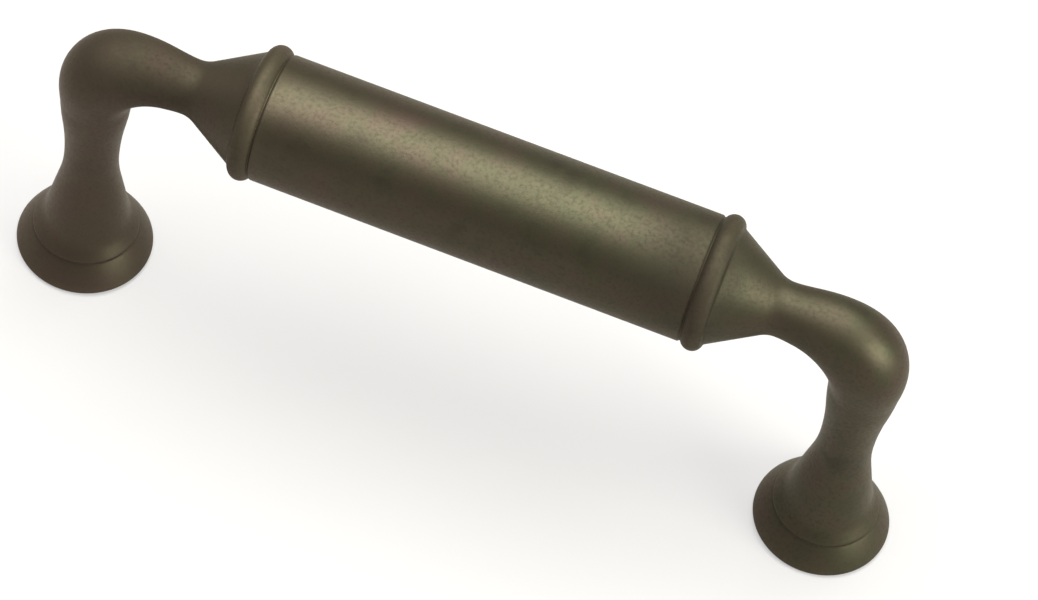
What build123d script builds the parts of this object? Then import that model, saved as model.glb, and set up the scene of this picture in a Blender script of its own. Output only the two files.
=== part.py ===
from build123d import *
import math
import os

# Driving dimensions in millimetres, angles in degrees

# Mounting
hole_spacing = 76.2  # between the centres of the two screw holes
screw_hole_diameter = 3.45  # tapping size for a number 8 machine screw
screw_hole_depth = 7.0  # full-width depth from the face of the foot
drill_point_angle = 118.0
hole_mouth_chamfer = 0.4

# Feet
foot_diameter = 13.3
foot_edge_height = 0.4  # the face of the foot is tucked in below this level
foot_edge_tuck = 0.25
moulding_height = 2.85  # top of the lower moulding
moulding_inset = 1.4  # radial step from the foot's edge to the top of the moulding
ring_width = 0.5  # narrow sunk ring between moulding and bell
ring_depth = 0.2  # below the top of the moulding
bell_step = 0.1  # the bell starts this far inside the top of the moulding
bell_height = 4.9  # where the bell would meet the neck without a blend
bell_inset = 0.98  # radial step from the bottom to the top of the bell
bell_blend = 0.8  # length along bell and neck that their hollow takes up

# Legs and elbows
neck_height = 12.6  # where the taper of the neck would reach its thinnest without a blend
neck_blend = 2.0  # length along the taper and the leg that their hollow takes up
neck_diameter = 5.2
bar_height = 30.7  # axis of the bar above the mounting face
bend_radius = 4.75
elbow_diameter = 6.86

# Bar
arm_length = 4.3  # from the end of the bend to the waist
waist_diameter = 5.3
waist_blend = 2.7  # radius of the hollow between waist and flare
flare_angle = 30.0  # slope of the flare up to the bead
flare_end_drop = 0.45  # the flare ends this far below the barrel
bead_width = 2.0
bead_rise = 0.46  # bead above the barrel
valley_depth = 0.2  # groove between bead and barrel
barrel_diameter = 12.2

# Derived sizes and stations

half_spacing = hole_spacing / 2
foot_radius = foot_diameter / 2
moulding_radius = foot_radius - moulding_inset
bell_base_radius = moulding_radius - bell_step
bell_radius = bell_base_radius - bell_inset
bell_base_height = moulding_height + ring_width
neck_radius = neck_diameter / 2
elbow_radius = elbow_diameter / 2
waist_radius = waist_diameter / 2
barrel_radius = barrel_diameter / 2
flare_end_radius = barrel_radius - flare_end_drop
valley_radius = barrel_radius - valley_depth

slope = math.radians(flare_angle)
blend_run = waist_blend * math.tan(slope / 2)
flare_run = (flare_end_radius - waist_radius) / math.tan(slope)
bend_height = bar_height - bend_radius
bend_x = half_spacing - bend_radius
waist_x = bend_x - arm_length
flare_end_x = waist_x - blend_run - flare_run
bead_x = flare_end_x - bead_width / 2
valley_x = flare_end_x - bead_width
barrel_end_x = valley_x - valley_depth

# Planes in which the outlines are drawn, and the axes they turn about

across = (0, -1, 0)
foot_centre = (half_spacing, 0, 0)
bar_middle = (0, 0, bar_height)
bend_centre = (bend_x, 0, bend_height)

foot_plane = Plane(origin=foot_centre, x_dir=(1, 0, 0), z_dir=across)
bar_plane = Plane(origin=bar_middle, x_dir=(1, 0, 0), z_dir=across)
elbow_plane = Plane(origin=(half_spacing, 0, bend_height), x_dir=(0, 1, 0), z_dir=(0, 0, 1))
foot_axis = Axis(foot_centre, (0, 0, 1))
bar_axis = Axis(bar_middle, (1, 0, 0))
bend_axis = Axis(bend_centre, (0, -1, 0))


def towards(start, end, length):
    """Point at a given length on the way from one point to another."""
    step = Vector(*end) - Vector(*start)
    return Vector(*start) + step.normalized() * length


def level_curve(start, end, direction):
    """Two equal arcs that leave the start and reach the end in the same direction."""
    middle = (Vector(*start) + Vector(*end)) / 2
    return [
        TangentArc(start, middle, tangent=direction),
        TangentArc(end, middle, tangent=-direction),
    ]


def make_leg():
    """Turned foot and leg: edge, moulding, sunk ring, bell, tapered neck and swell to the elbow."""
    face_edge = (foot_radius - foot_edge_tuck, 0)
    widest = (foot_radius, foot_edge_height)
    moulding_top = (moulding_radius, moulding_height)
    ring_bottom = (moulding_radius - ring_depth, moulding_height + ring_width / 2)
    bell_base = (bell_base_radius, bell_base_height)
    bell_top = (bell_radius, bell_height)
    taper_end = (neck_radius, neck_height)
    bell_end = towards(bell_top, bell_base, bell_blend)
    taper_start = towards(bell_top, taper_end, bell_blend)
    taper_stop = towards(taper_end, bell_top, neck_blend)
    neck = (neck_radius, neck_height + neck_blend)
    elbow = (elbow_radius, bend_height)
    up = Vector(0, 1)
    outline = [
        Line((0, 0), face_edge),
        Line(face_edge, widest),
        Line(widest, moulding_top),
        Line(moulding_top, ring_bottom),
        Line(ring_bottom, bell_base),
        Line(bell_base, bell_end),
        TangentArc(bell_end, taper_start, tangent=Vector(*bell_top) - bell_end),
        Line(taper_start, taper_stop),
        TangentArc(neck, taper_stop, tangent=-up),
        *level_curve(neck, elbow, up),
        Line(elbow, (0, bend_height)),
        Line((0, bend_height), (0, 0)),
    ]
    return revolve(foot_plane * make_face(outline), axis=foot_axis)


def make_bend():
    """Round elbow between the leg and the bar."""
    return revolve(elbow_plane * Circle(elbow_radius), axis=bend_axis, revolution_arc=90)


def make_half_bar():
    """Half of the bar: arm, waist, flare, bead and barrel up to the middle."""
    towards_middle = Vector(-1, 0)
    elbow = (bend_x, elbow_radius)
    waist = (waist_x, waist_radius)
    flare_start_x = waist_x - blend_run * (1 + math.cos(slope))
    flare_start = (flare_start_x, waist_radius + blend_run * math.sin(slope))
    flare_end = (flare_end_x, flare_end_radius)
    bead_foot = (flare_end_x, valley_radius)
    bead_top = (bead_x, barrel_radius + bead_rise)
    valley = (valley_x, valley_radius)
    barrel_end = (barrel_end_x, barrel_radius)
    outline = [
        Line((bend_x, 0), elbow),
        *level_curve(elbow, waist, towards_middle),
        TangentArc(waist, flare_start, tangent=towards_middle),
        Line(flare_start, flare_end),
        Line(flare_end, bead_foot),
        ThreePointArc(bead_foot, bead_top, valley),
        Line(valley, barrel_end),
        Line(barrel_end, (0, barrel_radius)),
        Line((0, barrel_radius), (0, 0)),
        Line((0, 0), (bend_x, 0)),
    ]
    return revolve(bar_plane * make_face(outline), axis=bar_axis)


def make_screw_hole():
    """Blind tapped hole in a foot, with a drill point and a broken edge at its mouth."""
    radius = screw_hole_diameter / 2
    mouth = (radius + hole_mouth_chamfer, 0)
    chamfer_end = (radius, hole_mouth_chamfer)
    wall_end = (radius, screw_hole_depth)
    point_rise = radius / math.tan(math.radians(drill_point_angle / 2))
    point = (0, screw_hole_depth + point_rise)
    outline = Polyline((0, 0), mouth, chamfer_end, wall_end, point, close=True)
    return revolve(foot_plane * make_face(outline), axis=foot_axis)


def make_handle():
    """The whole casting: two legs with their feet, two elbows and the bar in one piece."""
    half = make_leg() + make_bend() + make_half_bar() - make_screw_hole()
    return half + mirror(half, about=Plane.YZ)


os.makedirs("parts", exist_ok=True)
export_step(make_handle(), "parts/handle.step")
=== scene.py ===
"""Cabinet handle in dark oil-rubbed bronze on a plain pale floor."""

import logging
import math
from dataclasses import dataclass
from enum import Enum
from typing import Callable, Sequence

import bmesh
import bpy
from mathutils import Matrix, Vector

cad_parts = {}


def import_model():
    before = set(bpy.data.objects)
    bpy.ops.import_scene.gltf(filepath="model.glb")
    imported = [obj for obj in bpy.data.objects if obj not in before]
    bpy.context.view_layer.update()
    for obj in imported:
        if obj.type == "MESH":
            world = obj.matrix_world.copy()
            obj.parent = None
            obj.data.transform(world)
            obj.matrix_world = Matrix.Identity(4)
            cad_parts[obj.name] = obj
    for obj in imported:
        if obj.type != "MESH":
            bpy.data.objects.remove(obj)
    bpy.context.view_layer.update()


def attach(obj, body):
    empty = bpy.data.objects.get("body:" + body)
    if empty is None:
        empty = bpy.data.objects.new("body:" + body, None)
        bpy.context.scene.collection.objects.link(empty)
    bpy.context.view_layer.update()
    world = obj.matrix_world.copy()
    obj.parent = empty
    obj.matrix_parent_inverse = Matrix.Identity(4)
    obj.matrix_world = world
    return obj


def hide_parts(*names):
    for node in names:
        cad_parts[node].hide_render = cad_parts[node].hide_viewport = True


LOG = logging.getLogger("cabinet_handle")
MM = 0.001  # a millimetre in metres
HOLE_SPACING = 76.2  # between the two screw holes, in mm
ROOT_BODY = "root"
HANDLE_NODE = "handle"

Colour = tuple[float, float, float, float]
Triple = tuple[float, float, float]
Place = tuple[float, float]
Measure = Callable[[Vector], Place]
Socket = bpy.types.NodeSocket

WHITE: Colour = (1, 1, 1, 1)


class Mode(Enum):
    """Working modes of the modeller."""

    OBJECT = "OBJECT"
    EDIT = "EDIT"


class WearAndShade(Enum):
    """Kinds of wear, grime and painted shade, each an amount from 0 to 1 on the points of the casting.
    """

    RUBBED = "rubbed"
    # Grime settled in grooves, and painted shade
    GRIME_AND_SHADE = "settled"
    DULLED = "dulled"


class Maths(Enum):
    """Sums that a node can work out."""

    ADD = "ADD"
    SUBTRACT = "SUBTRACT"
    MULTIPLY = "MULTIPLY"
    MAXIMUM = "MAXIMUM"
    ABSOLUTE = "ABSOLUTE"


class Coordinates(Enum):
    """Coordinates that a node sheet can read: places on a piece, or directions into the room."""

    PIECE = "Object"
    ROOM = "Generated"


class Axis(Enum):
    """Axes that a node sheet can single out: along the bar, and up."""

    ALONG = "X"
    UP = "Z"


def enter(mode: Mode) -> None:
    """Switch the active object to a working mode."""
    bpy.ops.object.mode_set(mode=mode.value)


def deselect_everything() -> None:
    """Leave no object selected, so that an operator acts on the new piece alone."""
    bpy.ops.object.select_all(action="DESELECT")


def make_active(piece: bpy.types.Object) -> None:
    """Select one piece alone and make it the active one.

    Args:
        piece: The object to work on.
    """
    deselect_everything()
    piece.select_set(True)
    bpy.context.view_layer.objects.active = piece


def settle_place() -> None:
    """Move the place and turn of the new piece into its mesh."""
    bpy.ops.object.transform_apply(location=True, rotation=True, scale=True)


def shift_mesh(piece: bpy.types.Object, step: Vector) -> None:
    """Move all points of a mesh and leave its object at the origin.

    Args:
        piece: The mesh object.
        step: How far to move it, in metres.
    """
    make_active(piece)
    enter(Mode.EDIT)
    bpy.ops.mesh.select_all(action="SELECT")
    bpy.ops.transform.translate(value=step)
    enter(Mode.OBJECT)


def apply_modifier(piece: bpy.types.Object, modifier: bpy.types.Modifier) -> None:
    """Apply a modifier to the mesh of its piece."""
    make_active(piece)
    bpy.ops.object.modifier_apply(modifier=modifier.name)


def close_and_face_outwards(piece: bpy.types.Object, merge_distance: float) -> None:
    """Merge doubled points and turn all faces outwards.

    Args:
        piece: The finished mesh object.
        merge_distance: Points nearer than this become one, in metres.
    """
    make_active(piece)
    enter(Mode.EDIT)
    bpy.ops.mesh.select_all(action="SELECT")
    bpy.ops.mesh.remove_doubles(threshold=merge_distance)
    bpy.ops.mesh.normals_make_consistent(inside=False)
    enter(Mode.OBJECT)


def shares(steps: int) -> list[float]:
    """Even shares of a whole, from the first step up to 1."""
    return [step / steps for step in range(1, steps + 1)]


def rounded(start: Vector, corner: Vector, end: Vector, steps: int) -> list[Vector]:
    """Points after the start of a curve that rounds off the corner between two lines."""
    return [start.lerp(corner, share).lerp(corner.lerp(end, share), share) for share in shares(steps)]


def eased(share: float, start: float, end: float, start_slope: float, end_slope: float) -> float:
    """Value on a smooth curve between two ends with given slopes.

    Args:
        share: How far along the curve, 0 to 1.
        start: Value at the start.
        end: Value at the end.
        start_slope: Change per whole share at the start.
        end_slope: Change per whole share at the end.

    Returns:
        The value.
    """
    rest = 1 - share
    held = start * (1 + 2 * share) * rest**2 + end * (1 + 2 * rest) * share**2
    return held + start_slope * share * rest**2 - end_slope * rest * share**2


def level_rise(share: float, run: float, rise: float) -> float:
    """Height of two equal arcs that start and end level.

    Args:
        share: Place along the run, 0 to 1.
        run: Length of the whole curve.
        rise: Height that the whole curve climbs, which may be negative.

    Returns:
        The height at that place.
    """
    half_run, half_rise = run / 2, abs(rise) / 2
    arc = (half_run**2 + half_rise**2) / (2 * half_rise)
    away = share * run if share <= 0.5 else (1 - share) * run
    climb = arc - math.sqrt(arc**2 - away**2)
    height = climb if share <= 0.5 else abs(rise) - climb
    return math.copysign(height, rise)


@dataclass(frozen=True)
class Mark:
    """One marked place of wear, grime or painted shade, how far it spreads and how strong it is there,
    0 to 1.
    """

    place: tuple[float, ...]
    reach: float
    amount: float

    def at(self, spot: Sequence[float]) -> float:
        """Strength of the mark at a spot, which is given in the same way as its place."""
        return self.amount * math.exp(-((math.dist(spot, self.place) / self.reach) ** 2))


def strongest(spot: Sequence[float], marks: Sequence[Mark]) -> float:
    """Amount that the strongest of several marks leaves at a spot, 0 to 1."""
    return max((mark.at(spot) for mark in marks), default=0.0)


@dataclass(frozen=True)
class Ring:
    """One round section of the casting.

    The section lies square to a heading that tilts from straight up (0) towards
    the middle of the bar (90 degrees).
    """

    centre: Vector
    tilt: float
    radius: float


@dataclass
class Casting:
    """The one-piece handle: two turned feet and legs, elbows and a beaded bar. Sizes in mm."""

    # Screw holes
    hole_spacing: float = HOLE_SPACING
    hole_radius: float = 2.06
    hole_depth: float = 7.0
    hole_tip_height: float = 8.04
    hole_tip_radius: float = 0.12
    hole_mouth_radius: float = 2.4
    hole_mouth_depth: float = 0.4

    # Feet
    foot_radius: float = 6.65
    foot_edge_height: float = 0.4
    foot_edge_tuck: float = 0.25
    moulding_height: float = 2.85
    moulding_radius: float = 5.25
    moulding_bulge: float = 0.07  # how far the moulding swells past a straight slope
    ring_width: float = 0.5
    ring_depth: float = 0.2
    bell_base_radius: float = 5.15
    bell_height: float = 4.9
    bell_radius: float = 4.17
    bell_blend: float = 0.8

    # Legs and elbows
    neck_height: float = 12.6
    neck_blend: float = 2.0
    neck_radius: float = 2.6
    bar_height: float = 30.7
    bend_radius: float = 4.75
    elbow_radius: float = 3.43
    hollow_run: float = 7.2  # from the axes of leg and bar to the pivot of the elbow
    corner_fill: float = 0.95  # extra metal on the outside of the elbow
    corner_skew: float = 0.35  # how far that metal leans towards the leg
    corner_power: float = 1.5  # how gently it starts and ends
    slope_probe: float = 0.01  # step over which the slope of the leg is read

    # Bar
    arm_radius_at_elbow: float = 2.82
    arm_slope: float = 0.12  # taper of the arm where it leaves the elbow
    arm_length: float = 4.3
    waist_radius: float = 2.65
    waist_blend: float = 2.7
    flare_angle: float = 30.0
    flare_end_radius: float = 5.65
    bead_width: float = 2.0
    bead_rise: float = 0.46
    valley_depth: float = 0.2
    barrel_radius: float = 6.1

    # Widths of the rounded edges, and how near a point has to be to count as on an edge
    soft_foot: float = 0.14
    soft_ring: float = 0.1
    soft_mouth: float = 0.06
    soft_flare: float = 0.24
    soft_bead: float = 0.12
    edge_match: float = 0.004

    # Points nearer than these become one
    mirror_merge: float = 0.001
    point_merge: float = 0.0005

    # Number of sides and of sections
    sides: int = 112
    moulding_steps: int = 10
    bell_steps: int = 4
    bell_blend_steps: int = 8
    taper_steps: int = 10
    neck_blend_steps: int = 10
    swell_steps: int = 24
    elbow_steps: int = 32
    arm_steps: int = 8
    waist_steps: int = 10
    flare_steps: int = 6
    bead_steps: int = 16
    barrel_steps: int = 10
    edge_steps: int = 4

    # Rougher, redder patches of the patina, and darker patches of painted shade
    dull_spots: tuple[Mark, ...] = (
        Mark((-32.8, -1.0, 33.0), reach=6.5, amount=1.0),
        Mark((31.0, -1.0, 33.0), reach=5.0, amount=0.45),
        Mark((19.8, -2.0, 36.0), reach=5.0, amount=0.6),
    )
    # Painted shade: darker patches where the highlight fades beside the right bead and on the left arm
    painted_shade_spots: tuple[Mark, ...] = (
        Mark((20.3, -3.0, 35.0), reach=5.0, amount=0.5),
        Mark((-31.0, -1.0, 33.0), reach=4.5, amount=0.2),
    )

    def __post_init__(self) -> None:
        """Work out the stations that follow from the sizes."""
        self.half_spacing = self.hole_spacing / 2
        self.slope = math.radians(self.flare_angle)
        self.face_radius = self.foot_radius - self.foot_edge_tuck
        self.ring_radius = self.moulding_radius - self.ring_depth
        self.ring_height = self.moulding_height + self.ring_width / 2
        self.bell_base_height = self.moulding_height + self.ring_width
        self.neck_top = self.neck_height + self.neck_blend
        self.bend_height = self.bar_height - self.bend_radius
        self.leg_end = self.bar_height - self.hollow_run
        self.arm_start = self.half_spacing - self.hollow_run
        blend_run = self.waist_blend * math.tan(self.slope / 2)
        flare_run = (self.flare_end_radius - self.waist_radius) / math.tan(self.slope)
        self.waist_x = self.half_spacing - self.bend_radius - self.arm_length
        self.flare_end_x = self.waist_x - blend_run - flare_run
        self.bead_x = self.flare_end_x - self.bead_width / 2
        self.bead_radius = self.barrel_radius + self.bead_rise
        self.valley_x = self.flare_end_x - self.bead_width
        self.valley_radius = self.barrel_radius - self.valley_depth
        self.barrel_end_x = self.valley_x - self.valley_depth

    def turned_leg(self, point: Vector) -> Place:
        """Radius from the leg's axis and height of a point, all in mm."""
        return math.hypot(abs(point.x) - self.half_spacing, point.y), point.z

    def turned_bar(self, point: Vector) -> Place:
        """Place along the bar and radius from its axis of a point, all in mm."""
        return abs(point.x), math.hypot(point.y, point.z - self.bar_height)

    def upright(self, radius: float, height: float) -> Ring:
        """Section of the foot, its hole or the leg at one height."""
        return Ring(Vector((self.half_spacing, 0, height)), 0.0, radius)

    def on_bar(self, x: float, radius: float) -> Ring:
        """Section of the bar at one place along it."""
        return Ring(Vector((x, 0, self.bar_height)), math.pi / 2, radius)

    def leg_radius(self, height: float) -> float:
        """Radius of the leg where it swells from the neck to the elbow.

        Args:
            height: Height above the face of the foot.

        Returns:
            The radius at that height.
        """
        run = self.bend_height - self.neck_top
        swell = level_rise((height - self.neck_top) / run, run, self.elbow_radius - self.neck_radius)
        return self.neck_radius + swell

    def arm_radius(self, x: float) -> float:
        """Radius of the arm where it draws in from the elbow to the waist.

        Args:
            x: Place along the bar.

        Returns:
            The radius at that place.
        """
        run = self.arm_start - self.waist_x
        share = (self.arm_start - x) / run
        return eased(share, self.arm_radius_at_elbow, self.waist_radius, -self.arm_slope * run, 0.0)

    def hole_rings(self) -> list[Ring]:
        """Sections of the blind screw hole.

        Returns:
            The sections, from the drill point down to the mouth.
        """
        return [
            self.upright(self.hole_tip_radius, self.hole_tip_height),
            self.upright(self.hole_radius, self.hole_depth),
            self.upright(self.hole_radius, self.hole_depth / 2),
            self.upright(self.hole_radius, self.hole_mouth_depth),
            self.upright(self.hole_mouth_radius, 0),
        ]

    def foot_rings(self) -> list[Ring]:
        """Sections of the turned foot: face, tucked edge, moulding and sunk ring.

        Returns:
            The sections, from the face up to the base of the bell.
        """
        widest = Vector((self.foot_radius, self.foot_edge_height))
        top = Vector((self.moulding_radius, self.moulding_height))
        out = Vector((top.y - widest.y, widest.x - top.x)).normalized()
        swell = widest.lerp(top, 0.5) + out * 2 * self.moulding_bulge
        points = [
            Vector(((self.hole_mouth_radius + self.face_radius) / 2, 0)),
            Vector((self.face_radius, 0)),
            widest,
            *rounded(widest, swell, top, self.moulding_steps),
            Vector((self.ring_radius, self.ring_height)),
            Vector((self.bell_base_radius, self.bell_base_height)),
        ]
        return [self.upright(point.x, point.y) for point in points]

    def leg_rings(self) -> list[Ring]:
        """Sections of the leg: bell, tapered neck and swell to the elbow.

        Returns:
            The sections above the base of the bell, upwards.
        """
        bell_base = Vector((self.bell_base_radius, self.bell_base_height))
        bell_top = Vector((self.bell_radius, self.bell_height))
        taper_end = Vector((self.neck_radius, self.neck_height))
        neck = Vector((self.neck_radius, self.neck_top))
        climb = (taper_end - bell_top).normalized()
        bell_end = bell_top + (bell_base - bell_top).normalized() * self.bell_blend
        taper_start = bell_top + climb * self.bell_blend
        taper_stop = taper_end - climb * self.neck_blend
        points = [bell_base.lerp(bell_end, share) for share in shares(self.bell_steps)]
        points += rounded(bell_end, bell_top, taper_start, self.bell_blend_steps)
        points += [taper_start.lerp(taper_stop, share) for share in shares(self.taper_steps)]
        points += rounded(taper_stop, taper_end, neck, self.neck_blend_steps)
        rings = [self.upright(point.x, point.y) for point in points]
        for share in shares(self.swell_steps):
            height = self.neck_top + (self.leg_end - self.neck_top) * share
            rings.append(self.upright(self.leg_radius(height), height))
        return rings

    def elbow_rings(self) -> list[Ring]:
        """Sections of the elbow, which is tight on the outside and has a wide hollow inside.

        Its inner and outer contours are drawn about a pivot in the hollow, and each section
        spans from one contour to the other.

        Returns:
            The sections, from the leg round to the arm.
        """
        quarter = math.pi / 2
        pivot = Vector((self.arm_start, 0, self.leg_end))
        leg, arm = self.leg_radius(self.leg_end), self.arm_radius(self.arm_start)
        leg_slope = (leg - self.leg_radius(self.leg_end - self.slope_probe)) / self.slope_probe
        swell, taper = leg_slope * quarter, self.arm_slope * quarter
        inner_leg, inner_arm = self.hollow_run - leg, self.hollow_run - arm
        outer_leg, outer_arm = self.hollow_run + leg, self.hollow_run + arm
        rings = []
        for share in shares(self.elbow_steps):
            tilt = share * quarter
            inner = eased(share, inner_leg, inner_arm, -swell * inner_leg, taper * inner_arm)
            outer = eased(share, outer_leg, outer_arm, swell * outer_leg, -taper * outer_arm)
            bulge = 1 + self.corner_skew * math.cos(2 * tilt)
            outer += self.corner_fill * bulge * max(math.sin(2 * tilt), 0.0) ** self.corner_power
            radial = Vector((math.cos(tilt), 0, math.sin(tilt)))
            rings.append(Ring(pivot + radial * (outer + inner) / 2, tilt, (outer - inner) / 2))
        return rings

    def arm_rings(self) -> list[Ring]:
        """Sections of the arm, the hollow at its waist and the flare.

        Returns:
            The sections, from the elbow to the bead.
        """
        rings = []
        for share in shares(self.arm_steps):
            x = self.arm_start + (self.waist_x - self.arm_start) * share
            rings.append(self.on_bar(x, self.arm_radius(x)))
        for share in shares(self.waist_steps):
            turn = self.slope * share
            x = self.waist_x - self.waist_blend * math.sin(turn)
            rings.append(self.on_bar(x, self.waist_radius + self.waist_blend * (1 - math.cos(turn))))
        begin = rings[-1]
        for share in shares(self.flare_steps):
            x = begin.centre.x + (self.flare_end_x - begin.centre.x) * share
            rings.append(self.on_bar(x, begin.radius + (self.flare_end_radius - begin.radius) * share))
        return rings

    def grip_rings(self) -> list[Ring]:
        """Sections of the bead and of half the barrel.

        Returns:
            The sections, from the flare to the middle of the bar.
        """
        half_width = self.bead_width / 2
        crown = self.bead_radius - self.valley_radius
        arc = (half_width**2 + crown**2) / (2 * crown)
        reach = math.asin(half_width / arc)
        arc_centre = self.bead_radius - arc
        rings = []
        for share in (0.0, *shares(self.bead_steps)):
            turn = reach * (1 - 2 * share)
            x = self.bead_x + arc * math.sin(turn)
            rings.append(self.on_bar(x, arc_centre + arc * math.cos(turn)))
        for share in (0.0, *shares(self.barrel_steps)):
            rings.append(self.on_bar(self.barrel_end_x * (1 - share), self.barrel_radius))
        return rings

    def first_ring(self, ring: Ring) -> bpy.types.Object:
        """Start the skin with the closed tip of the screw hole.

        Args:
            ring: The section at the tip.

        Returns:
            The new object, in edit mode, with the rim of the tip selected.
        """
        deselect_everything()
        bpy.ops.mesh.primitive_circle_add(
            vertices=self.sides, radius=ring.radius * MM, fill_type="TRIFAN", location=ring.centre * MM
        )
        piece = bpy.context.object
        piece.name = "casting"
        settle_place()
        enter(Mode.EDIT)
        bpy.ops.mesh.select_mode(type="EDGE")
        bpy.ops.mesh.select_all(action="SELECT")
        bpy.ops.mesh.region_to_loop()
        return piece

    def grow(self, last: Ring, ring: Ring) -> None:
        """Extrude the selected rim to the next section.

        Args:
            last: The section that the rim lies on.
            ring: The section to reach.
        """
        centre = ring.centre * MM
        step = (ring.centre - last.centre) * MM
        bpy.ops.mesh.extrude_edges_move(TRANSFORM_OT_translate={"value": step})
        if ring.tilt != last.tilt:
            turn = ring.tilt - last.tilt
            bpy.ops.transform.rotate(value=turn, orient_axis="Y", center_override=centre)
        if ring.radius != last.radius:
            scale = ring.radius / last.radius
            bpy.ops.transform.resize(value=(scale, scale, scale), center_override=centre)

    def soften(
        self, piece: bpy.types.Object, measure: Measure, places: list[Place], width: float
    ) -> None:
        """Round off turned edges.

        Args:
            piece: The casting, in edit mode.
            measure: How a point is measured on the turned form.
            places: Where each edge lies by that measure, in mm.
            width: Width of the rounding in mm.
        """
        net = bmesh.from_edit_mesh(piece.data)
        for edge in net.edges:
            ends = [measure(end.co / MM) for end in edge.verts]
            misses = [max(math.dist(end, place) for end in ends) for place in places]
            edge.select_set(min(misses) < self.edge_match)
        net.select_flush_mode()
        bmesh.update_edit_mesh(piece.data)
        bpy.ops.mesh.bevel(
            offset=width * MM, segments=self.edge_steps, affect="EDGES", clamp_overlap=True
        )

    def soften_all(self, piece: bpy.types.Object) -> None:
        """Round off the worn edges of foot, sunk ring, hole mouth, flare and bead.

        Args:
            piece: The casting, in edit mode.
        """
        foot = [(self.face_radius, 0), (self.foot_radius, self.foot_edge_height)]
        ring = [
            (self.moulding_radius, self.moulding_height),
            (self.ring_radius, self.ring_height),
            (self.bell_base_radius, self.bell_base_height),
        ]
        mouth = [(self.hole_mouth_radius, 0), (self.hole_radius, self.hole_mouth_depth)]
        flare = [(self.flare_end_x, self.flare_end_radius)]
        bead = [(self.valley_x, self.valley_radius), (self.barrel_end_x, self.barrel_radius)]
        self.soften(piece, self.turned_leg, foot, self.soft_foot)
        self.soften(piece, self.turned_leg, ring, self.soft_ring)
        self.soften(piece, self.turned_leg, mouth, self.soft_mouth)
        self.soften(piece, self.turned_bar, flare, self.soft_flare)
        self.soften(piece, self.turned_bar, bead, self.soft_bead)

    def build(self) -> bpy.types.Object:
        """Model the whole casting.

        Returns:
            The finished mesh object.
        """
        rings = self.hole_rings() + self.foot_rings() + self.leg_rings()
        rings += self.elbow_rings() + self.arm_rings() + self.grip_rings()
        piece = self.first_ring(rings[0])
        for last, ring in zip(rings, rings[1:]):
            self.grow(last, ring)
        self.soften_all(piece)
        enter(Mode.OBJECT)
        mirror = piece.modifiers.new("other_half", "MIRROR")
        mirror.use_axis = (True, False, False)
        mirror.merge_threshold = self.mirror_merge * MM
        apply_modifier(piece, mirror)
        close_and_face_outwards(piece, self.point_merge * MM)
        self.mark_wear_and_shade(piece)
        make_active(piece)
        bpy.ops.object.shade_smooth()
        return piece

    def leg_marks(self) -> dict[WearAndShade, tuple[Mark, ...]]:
        """Worn edges, filled grooves and painted shade along the bottom edge of the feet.

        Returns:
            The marks of each kind of wear, grime and painted shade, placed by radius and height.
        """
        return {
            WearAndShade.RUBBED: (
                Mark((self.foot_radius, self.foot_edge_height), reach=0.45, amount=0.5),
                Mark((self.moulding_radius, self.moulding_height), reach=0.3, amount=0.15),
                Mark((self.bell_base_radius, self.bell_base_height), reach=0.35, amount=0.12),
            ),
            WearAndShade.GRIME_AND_SHADE: (
                Mark((self.ring_radius, self.ring_height), reach=0.3, amount=0.3),
                # Painted shade: a dark line along the bottom edge of the foot, where it meets the
                # floor
                Mark((self.face_radius, 0.0), reach=0.35, amount=0.9),
            ),
            WearAndShade.DULLED: (),
        }

    def bar_marks(self) -> dict[WearAndShade, tuple[Mark, ...]]:
        """Worn edges, filled grooves and dull beads of the bar.

        Returns:
            The marks of each kind of wear, placed by distance along the bar and radius.
        """
        bead_top = (self.bead_x, self.bead_radius)
        return {
            WearAndShade.RUBBED: (
                Mark(bead_top, reach=0.5, amount=0.35),
                Mark((self.barrel_end_x, self.barrel_radius), reach=0.4, amount=0.3),
            ),
            WearAndShade.GRIME_AND_SHADE: (
                Mark((self.valley_x, self.valley_radius), reach=0.24, amount=0.15),
                Mark((self.flare_end_x, self.flare_end_radius), reach=0.35, amount=0.05),
            ),
            WearAndShade.DULLED: (Mark(bead_top, reach=1.1, amount=0.8),),
        }

    def mark_wear_and_shade(self, piece: bpy.types.Object) -> None:
        """Write each kind of wear, grime and painted shade on the points of the mesh.

        Args:
            piece: The finished casting.
        """
        leg_marks, bar_marks = self.leg_marks(), self.bar_marks()
        spots = {WearAndShade.RUBBED: (), WearAndShade.GRIME_AND_SHADE: self.painted_shade_spots, WearAndShade.DULLED: self.dull_spots}
        for wear in WearAndShade:
            layer = piece.data.attributes.new(wear.value, "FLOAT", "POINT")
            for entry, vertex in zip(layer.data, piece.data.vertices):
                point = vertex.co / MM
                if point.z < self.neck_height:
                    turned = strongest(self.turned_leg(point), leg_marks[wear])
                else:
                    turned = strongest(self.turned_bar(point), bar_marks[wear])
                entry.value = max(turned, strongest(point, spots[wear]))

    def dress(self, piece: bpy.types.Object, finish: bpy.types.Material) -> None:
        """Give the casting its finish and its place on the part.

        Args:
            piece: The finished casting.
            finish: The bronze patina.
        """
        piece.data.materials.append(finish)
        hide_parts(HANDLE_NODE)
        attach(piece, ROOT_BODY)


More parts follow.
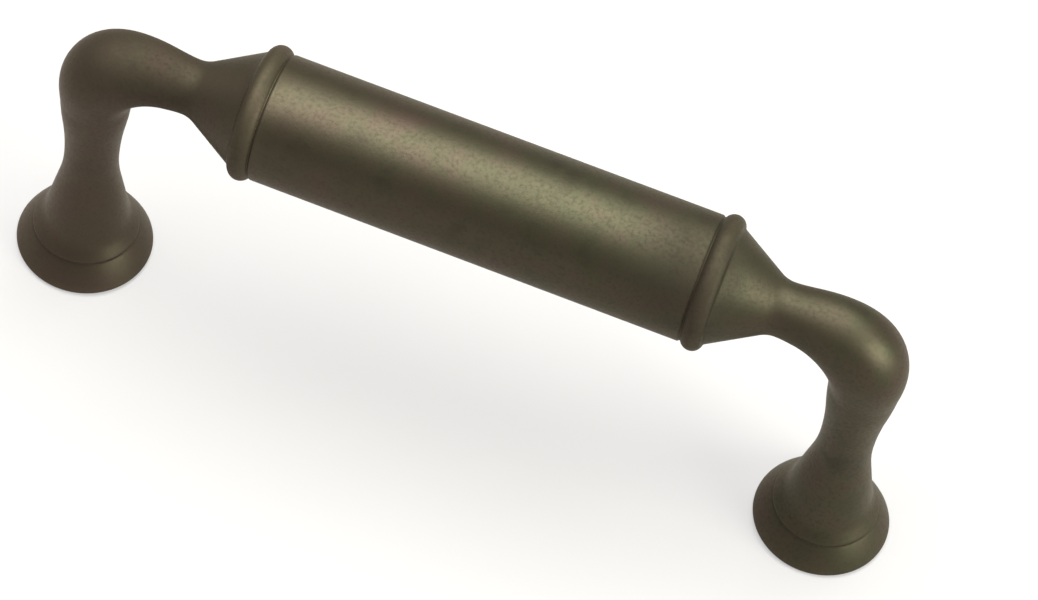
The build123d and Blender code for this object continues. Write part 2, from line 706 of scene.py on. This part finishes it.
@dataclass
class ScrewThread:
    """Thread ridge inside the two screw holes. Sizes in mm, angles in degrees."""

    hole_spacing: float = HOLE_SPACING
    pitch: float = 0.794
    crest_radius: float = 1.73
    root_radius: float = 2.1
    start_height: float = 0.55
    half_width_share: float = 0.46  # half the ridge's width, as a share of the pitch
    rounding_share: float = 0.14  # rounding of its corners, as a share of its depth
    rounding_steps: int = 2
    turns: int = 7
    steps_per_turn: int = 48
    most_end_sides: int = 12  # most sides that an open end of the ridge may have
    point_merge: float = 0.0002
    smooth_angle: float = 35.0

    def start_ridge(self) -> bpy.types.Object:
        """Draw the three-cornered section of the ridge beside the axis of its hole.

        Returns:
            The new object, with its corners rounded.
        """
        depth = self.root_radius - self.crest_radius
        third = math.tau / 3
        radius = depth / (1 - math.cos(third))
        stretch = self.pitch * self.half_width_share / (radius * math.sin(third))
        deselect_everything()
        bpy.ops.mesh.primitive_circle_add(
            vertices=3,
            radius=radius * MM,
            fill_type="NOTHING",
            location=((-self.crest_radius - radius) * MM, 0, 0),
            rotation=(-math.pi / 2, -math.pi / 2, 0),
        )
        ridge = bpy.context.object
        ridge.name = "thread_right"
        settle_place()
        enter(Mode.EDIT)
        bpy.ops.mesh.select_mode(type="EDGE")
        bpy.ops.mesh.select_all(action="SELECT")
        bpy.ops.transform.resize(value=(1, 1, stretch), center_override=(0, 0, 0))
        rounding = depth * self.rounding_share * MM
        bpy.ops.mesh.bevel(offset=rounding, segments=self.rounding_steps, affect="VERTICES")
        enter(Mode.OBJECT)
        return ridge

    def build(self) -> list[bpy.types.Object]:
        """Model the ridge once and copy it for the second hole.

        Returns:
            The two ridges.
        """
        ridge = self.start_ridge()
        helix = ridge.modifiers.new("helix", "SCREW")
        helix.axis = "Z"
        helix.screw_offset = self.pitch * MM
        helix.iterations = self.turns
        helix.steps = self.steps_per_turn
        helix.render_steps = self.steps_per_turn
        helix.use_smooth_shade = True
        apply_modifier(ridge, helix)
        enter(Mode.EDIT)
        bpy.ops.mesh.select_all(action="SELECT")
        bpy.ops.mesh.fill_holes(sides=self.most_end_sides)
        enter(Mode.OBJECT)
        shift_mesh(ridge, Vector((self.hole_spacing / 2, 0, self.start_height)) * MM)
        close_and_face_outwards(ridge, self.point_merge * MM)
        make_active(ridge)
        bpy.ops.object.shade_smooth_by_angle(angle=math.radians(self.smooth_angle))
        bpy.ops.object.duplicate(linked=False)
        other = bpy.context.object
        other.name = "thread_left"
        shift_mesh(other, Vector((-self.hole_spacing, 0, 0)) * MM)
        return [ridge, other]

    def dress(self, ridges: list[bpy.types.Object], finish: bpy.types.Material) -> None:
        """Give the ridges their finish and their place on the part.

        Args:
            ridges: The two ridges.
            finish: The bronze patina.
        """
        for ridge in ridges:
            ridge.data.materials.append(finish)
            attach(ridge, ROOT_BODY)


@dataclass(frozen=True)
class Clouds:
    """A cloudy pattern: clouds per metre, levels of finer clouds and their strength."""

    scale: float
    detail: float
    rough: float


@dataclass(frozen=True)
class Spread:
    """How the range of one value is spread over the range of another."""

    low: float
    high: float
    to_low: float
    to_high: float


class Sheet:
    """The node sheet of a material or of the surroundings, with short ways to add and join nodes."""

    # Places of the colour sockets on a node that mixes two values
    mix_share = 0
    mix_first = 6
    mix_second = 7
    mix_result = 2

    def __init__(self, owner: bpy.types.Material | bpy.types.World) -> None:
        """Start with an empty sheet.

        Args:
            owner: What the sheet belongs to.
        """
        owner.use_nodes = True
        self.owner = owner
        self.tree = owner.node_tree
        self.tree.nodes.clear()

    def add(self, kind: str, **settings: object) -> bpy.types.Node:
        """Add a node and set its options.

        Args:
            kind: Type of the node.
            **settings: Options of the node.

        Returns:
            The new node.
        """
        node = self.tree.nodes.new(kind)
        for key, value in settings.items():
            setattr(node, key, value)
        return node

    def join(self, source: Socket, target: Socket) -> None:
        """Link one socket to another."""
        self.tree.links.new(source, target)

    def place(self, coordinates: Coordinates) -> Socket:
        """Places or directions in one kind of coordinates."""
        return self.add("ShaderNodeTexCoord").outputs[coordinates.value]

    def along(self, place: Socket, axis: Axis) -> Socket:
        """How far a place lies along one axis.

        Args:
            place: The coordinates to read.
            axis: The axis.

        Returns:
            The coordinate along that axis.
        """
        node = self.add("ShaderNodeSeparateXYZ")
        self.join(place, node.inputs["Vector"])
        return node.outputs[axis.value]

    def wear(self, wear: WearAndShade) -> Socket:
        """Amount of one kind of marking, such as wear, grime or painted shade, that the points of the
        piece carry.
        """
        return self.add("ShaderNodeAttribute", attribute_name=wear.value).outputs["Fac"]

    def noise(self, place: Socket, clouds: Clouds) -> Socket:
        """Cloudy variation.

        Args:
            place: Coordinates that the pattern follows.
            clouds: The pattern.

        Returns:
            The variation, around one half.
        """
        node = self.add("ShaderNodeTexNoise")
        node.inputs["Scale"].default_value = clouds.scale
        node.inputs["Detail"].default_value = clouds.detail
        node.inputs["Roughness"].default_value = clouds.rough
        self.join(place, node.inputs["Vector"])
        return node.outputs["Fac"]

    def steps(self, value: Socket, places: Sequence[float], colours: Sequence[Colour]) -> Socket:
        """Colour by value.

        Args:
            value: The value to read.
            places: Values at which the colours stand.
            colours: The colours.

        Returns:
            The colour.
        """
        node = self.add("ShaderNodeValToRGB")
        stops = node.color_ramp.elements
        while len(stops) < len(colours):
            stops.new(0.5)
        for stop, place, colour in zip(stops, places, colours):
            stop.position = place
            stop.color = colour
        self.join(value, node.inputs["Fac"])
        return node.outputs["Color"]

    def between(self, value: Socket, spread: Spread) -> Socket:
        """Spread a value from one range over another.

        Args:
            value: The value to read.
            spread: The two ranges.

        Returns:
            The new value.
        """
        node = self.add("ShaderNodeMapRange")
        node.inputs["From Min"].default_value = spread.low
        node.inputs["From Max"].default_value = spread.high
        node.inputs["To Min"].default_value = spread.to_low
        node.inputs["To Max"].default_value = spread.to_high
        self.join(value, node.inputs["Value"])
        return node.outputs["Result"]

    def combine(self, maths: Maths, first: Socket, second: Socket | float = 0.0) -> Socket:
        """Work out a sum.

        Args:
            maths: The kind of sum.
            first: First value.
            second: Second value, or a number, where the sum has one.

        Returns:
            The result.
        """
        node = self.add("ShaderNodeMath", operation=maths.value)
        self.join(first, node.inputs[0])
        if isinstance(second, float):
            node.inputs[1].default_value = second
        else:
            self.join(second, node.inputs[1])
        return node.outputs["Value"]

    def blend(self, share: Socket, first: Socket, second: Colour) -> Socket:
        """Blend one colour into another.

        Args:
            share: Share of the second colour.
            first: First colour.
            second: Second colour.

        Returns:
            The colour.
        """
        node = self.add("ShaderNodeMix", data_type="RGBA")
        self.join(share, node.inputs[self.mix_share])
        self.join(first, node.inputs[self.mix_first])
        node.inputs[self.mix_second].default_value = second
        return node.outputs[self.mix_result]

    def seen(self) -> Socket:
        """Tell rays that show a surface from rays that only light it.

        Returns:
            One for rays from the eye, from gloss and through glass, and otherwise nought.
        """
        path = self.add("ShaderNodeLightPath").outputs
        shown = self.combine(Maths.MAXIMUM, path["Is Camera Ray"], path["Is Glossy Ray"])
        return self.combine(Maths.MAXIMUM, shown, path["Is Transmission Ray"])


@dataclass(frozen=True)
class OilRubbedBronze:
    """Dark satin bronze patina, mottled, rubbed lighter along its edges and darkened by grime and
    painted shade where the casting marks them.
    """

    # Colours of the patina, and where the mottling passes from one to the next
    shade: Colour = (0.0339, 0.0261, 0.0170, 1)
    olive: Colour = (0.0474, 0.0413, 0.0239, 1)
    brown: Colour = (0.0557, 0.0392, 0.0265, 1)
    red_brown: Colour = (0.0644, 0.0400, 0.0309, 1)
    tone_places: tuple[float, ...] = (0.32, 0.46, 0.56, 0.68)
    bare: Colour = (0.104, 0.083, 0.048, 1)
    # Tone of grime in the grooves and of painted shade
    grime_and_shade_tone: Colour = (0.014, 0.012, 0.009, 1)
    sheen: Colour = (0.90, 0.85, 0.75, 1)
    metallic: float = 0.75

    # Patterns, and how each of them is spread over its effect
    mottle: Clouds = Clouds(scale=260.0, detail=6, rough=0.6)
    drift: Clouds = Clouds(scale=78.0, detail=3, rough=0.5)
    speck: Clouds = Clouds(scale=3000.0, detail=4, rough=0.55)
    grain: Clouds = Clouds(scale=5200.0, detail=3, rough=0.6)
    clouding: Spread = Spread(0.35, 0.65, 0.0, 0.55)
    flecking: Spread = Spread(0.50, 0.68, 0.0, 0.55)
    ruddiness: Spread = Spread(-0.045, 0.01, 0.6, 0.0)
    patchiness: Spread = Spread(0.35, 0.62, 0.35, 1.0)
    roughness: Spread = Spread(0.3, 0.7, 0.41, 0.52)

    # Shares that wear, grime and painted shade take of the colour, and what they do to the roughness
    dull_share: float = 0.5
    rub_share: float = 0.5
    grime_and_shade_share: float = 0.8
    rub_polish: float = 0.16
    grime_and_shade_roughness: float = 0.2
    dull_roughness: float = 0.28

    # Fine relief, with its height in mm
    grain_share: float = 0.4
    speck_share: float = 0.6
    relief_strength: float = 0.22
    relief_height: float = 0.04

    def patina(self, sheet: Sheet, place: Socket, mottle: Socket, speck: Socket) -> Socket:
        """Mottled and flecked colour, redder towards one end and where it is dulled.

        Args:
            sheet: The node sheet to work on.
            place: Coordinates on the piece.
            mottle: The coarse pattern.
            speck: The fine pattern.

        Returns:
            The colour, before rubbing, grime and painted shade.
        """
        tones = (self.shade, self.olive, self.brown, self.red_brown)
        colour = sheet.steps(mottle, self.tone_places, tones)
        clouding = sheet.between(sheet.noise(place, self.drift), self.clouding)
        colour = sheet.blend(clouding, colour, self.olive)
        colour = sheet.blend(sheet.between(speck, self.flecking), colour, self.shade)
        ruddy = sheet.between(sheet.along(place, Axis.ALONG), self.ruddiness)
        dull = sheet.combine(Maths.MULTIPLY, sheet.wear(WearAndShade.DULLED), self.dull_share)
        return sheet.blend(sheet.combine(Maths.MAXIMUM, ruddy, dull), colour, self.red_brown)

    def relief(self, sheet: Sheet, place: Socket, speck: Socket) -> Socket:
        """Fine unevenness of the cast surface.

        Args:
            sheet: The node sheet to work on.
            place: Coordinates on the piece.
            speck: The fine pattern.

        Returns:
            The direction that the surface faces.
        """
        grain = sheet.combine(Maths.MULTIPLY, sheet.noise(place, self.grain), self.grain_share)
        specks = sheet.combine(Maths.MULTIPLY, speck, self.speck_share)
        bump = sheet.add("ShaderNodeBump")
        bump.inputs["Strength"].default_value = self.relief_strength
        bump.inputs["Distance"].default_value = self.relief_height * MM
        sheet.join(sheet.combine(Maths.ADD, grain, specks), bump.inputs["Height"])
        return bump.outputs["Normal"]

    def build(self) -> bpy.types.Material:
        """Make the material.

        Returns:
            The finished material.
        """
        sheet = Sheet(bpy.data.materials.new("oil_rubbed_bronze"))
        place = sheet.place(Coordinates.PIECE)
        mottle = sheet.noise(place, self.mottle)
        speck = sheet.noise(place, self.speck)
        patchy = sheet.between(mottle, self.patchiness)
        rubbed = sheet.combine(Maths.MULTIPLY, sheet.wear(WearAndShade.RUBBED), patchy)
        bright = sheet.combine(Maths.MULTIPLY, rubbed, self.rub_share)
        # Darkening from grime in the grooves and from painted shade
        dark = sheet.combine(Maths.MULTIPLY, sheet.wear(WearAndShade.GRIME_AND_SHADE), self.grime_and_shade_share)
        colour = sheet.blend(bright, self.patina(sheet, place, mottle, speck), self.bare)
        colour = sheet.blend(dark, colour, self.grime_and_shade_tone)
        rough = sheet.between(speck, self.roughness)
        for maths, wear, change in (
            (Maths.SUBTRACT, bright, self.rub_polish),
            (Maths.ADD, dark, self.grime_and_shade_roughness),
            (Maths.ADD, sheet.wear(WearAndShade.DULLED), self.dull_roughness),
        ):
            rough = sheet.combine(maths, rough, sheet.combine(Maths.MULTIPLY, wear, change))
        metal = sheet.add("ShaderNodeBsdfPrincipled")
        metal.inputs["Metallic"].default_value = self.metallic
        metal.inputs["Specular Tint"].default_value = self.sheen
        sheet.join(colour, metal.inputs["Base Color"])
        sheet.join(rough, metal.inputs["Roughness"])
        sheet.join(self.relief(sheet, place, speck), metal.inputs["Normal"])
        out = sheet.add("ShaderNodeOutputMaterial")
        sheet.join(metal.outputs["BSDF"], out.inputs["Surface"])
        return sheet.owner


@dataclass(frozen=True)
class PaleFloor:
    """Plain pale sheet that keeps a soft shadow and turns white further out. Sizes in metres."""

    half_width: float = 6.0
    drop: float = 0.00003  # how far it lies below the feet
    paper: Colour = (0.446, 0.392, 0.410, 1)
    glow_share: float = 0.45  # share of plain white near the middle
    shadow_reach: float = 0.12  # where that share begins to grow
    white_reach: float = 0.35  # where the floor is all white

    def build(self) -> None:
        """Lay the floor and give it its white."""
        deselect_everything()
        bpy.ops.mesh.primitive_plane_add(size=2 * self.half_width, location=(0, 0, -self.drop))
        floor = bpy.context.object
        floor.name = "floor"
        settle_place()
        sheet = Sheet(bpy.data.materials.new("pale_floor"))
        paper = sheet.add("ShaderNodeBsdfDiffuse")
        paper.inputs["Color"].default_value = self.paper
        glow = sheet.add("ShaderNodeEmission")
        reach = sheet.add("ShaderNodeVectorMath", operation="LENGTH")
        sheet.join(sheet.place(Coordinates.PIECE), reach.inputs[0])
        whitening = Spread(self.shadow_reach, self.white_reach, self.glow_share, 1.0)
        share = sheet.between(reach.outputs["Value"], whitening)
        mix = sheet.add("ShaderNodeMixShader")
        sheet.join(sheet.combine(Maths.MULTIPLY, sheet.seen(), share), mix.inputs["Fac"])
        sheet.join(paper.outputs["BSDF"], mix.inputs[1])
        sheet.join(glow.outputs["Emission"], mix.inputs[2])
        out = sheet.add("ShaderNodeOutputMaterial")
        sheet.join(mix.outputs["Shader"], out.inputs["Surface"])
        floor.data.materials.append(sheet.owner)


@dataclass(frozen=True)
class Softbox:
    """One large soft lamp. Lengths in metres, power in watts."""

    name: str
    place: Triple
    aim: Triple
    width: float
    depth: float
    power: float
    tint: Triple

    def build(self) -> None:
        """Hang the lamp and turn it to its aim."""
        deselect_everything()
        bpy.ops.object.light_add(type="AREA", location=self.place)
        lamp = bpy.context.object
        lamp.name = self.name
        lamp.data.shape = "RECTANGLE"
        lamp.data.size = self.width
        lamp.data.size_y = self.depth
        lamp.data.energy = self.power
        lamp.data.color = self.tint
        away = Vector(self.place) - Vector(self.aim)
        lamp.rotation_euler = away.to_track_quat("Z", "Y").to_euler()


@dataclass(frozen=True)
class Studio:
    """Dim surroundings with a white band at the level of the floor, and soft lamps."""

    ambient: float = 0.155
    band_top: float = 0.07  # rise of a direction up to which the band is white
    band_fade: float = 0.12  # rise at which the band has faded
    lamps: tuple[Softbox, ...] = (
        Softbox(
            name="overhead_softbox",
            place=(-0.06, 0.08, 0.55),
            aim=(0, 0, 0.02),
            width=0.70,
            depth=0.42,
            power=9.2,
            tint=(0.90, 1.0, 0.92),
        ),
        Softbox(
            name="right_softbox",
            place=(0.62, -0.10, 0.34),
            aim=(0.02, 0, 0.02),
            width=0.40,
            depth=0.40,
            power=6.9,
            tint=(0.88, 1.0, 0.86),
        ),
    )

    def build(self) -> None:
        """Set the surroundings and hang the lamps."""
        world = bpy.data.worlds.new("pale_room")
        bpy.context.scene.world = world
        sheet = Sheet(world)
        facing = sheet.place(Coordinates.ROOM)
        lift = sheet.combine(Maths.ABSOLUTE, sheet.along(facing, Axis.UP))
        band = sheet.between(lift, Spread(self.band_top, self.band_fade, 1.0, 0.0))
        shown = sheet.combine(Maths.MULTIPLY, sheet.seen(), band)
        room = sheet.add("ShaderNodeBackground")
        room.inputs["Color"].default_value = WHITE
        sheet.join(sheet.between(shown, Spread(0.0, 1.0, self.ambient, 1.0)), room.inputs["Strength"])
        out = sheet.add("ShaderNodeOutputWorld")
        sheet.join(room.outputs["Background"], out.inputs["Surface"])
        for lamp in self.lamps:
            lamp.build()
        bpy.context.scene.view_settings.view_transform = "Standard"


@dataclass(frozen=True)
class Viewpoint:
    """Camera at the photograph's viewing angle. Angles in degrees, lengths in mm, image in pixels."""

    azimuth: float = 9.94
    elevation: float = 56.07
    roll: float = 12.38
    focal_pixels: float = 4800.0
    image_width: float = 1038.0
    shift_right: float = -6.682
    shift_up: float = -7.391
    distance: float = 462.57
    sensor_width: float = 36.0
    nearest: float = 10.0

    def build(self) -> None:
        """Place the camera and make it the scene's own."""
        turn, lift, roll = (math.radians(angle) for angle in (self.azimuth, self.elevation, self.roll))
        level = math.cos(lift)
        back = Vector((math.sin(turn) * level, -math.cos(turn) * level, math.sin(lift)))
        right = Vector((0, 0, 1)).cross(back).normalized()
        up = back.cross(right)
        right, up = (
            right * math.cos(roll) + up * math.sin(roll),
            up * math.cos(roll) - right * math.sin(roll),
        )
        place = (back * self.distance - right * self.shift_right - up * self.shift_up) * MM
        deselect_everything()
        bpy.ops.object.camera_add()
        camera = bpy.context.object
        camera.name = "view"
        axes = Matrix((right, up, back)).transposed().to_4x4()
        camera.matrix_world = Matrix.Translation(place) @ axes
        camera.data.sensor_fit = "HORIZONTAL"
        camera.data.sensor_width = self.sensor_width
        camera.data.lens = self.focal_pixels / self.image_width * self.sensor_width
        camera.data.clip_start = self.nearest * MM
        bpy.context.scene.camera = camera


def main() -> None:
    """Load the frame, build and dress every piece, and light the scene."""
    logging.basicConfig(level=logging.INFO, format="%(name)s: %(message)s")
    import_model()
    bronze = OilRubbedBronze().build()
    casting = Casting()
    handle = casting.build()
    casting.dress(handle, bronze)
    thread = ScrewThread()
    ridges = thread.build()
    thread.dress(ridges, bronze)
    for piece in (handle, *ridges):
        LOG.info("%s: %d faces", piece.name, len(piece.data.polygons))
    PaleFloor().build()
    Studio().build()
    Viewpoint().build()
    LOG.info("floor, lamps and camera are in place")


if __name__ == "__main__":
    main()
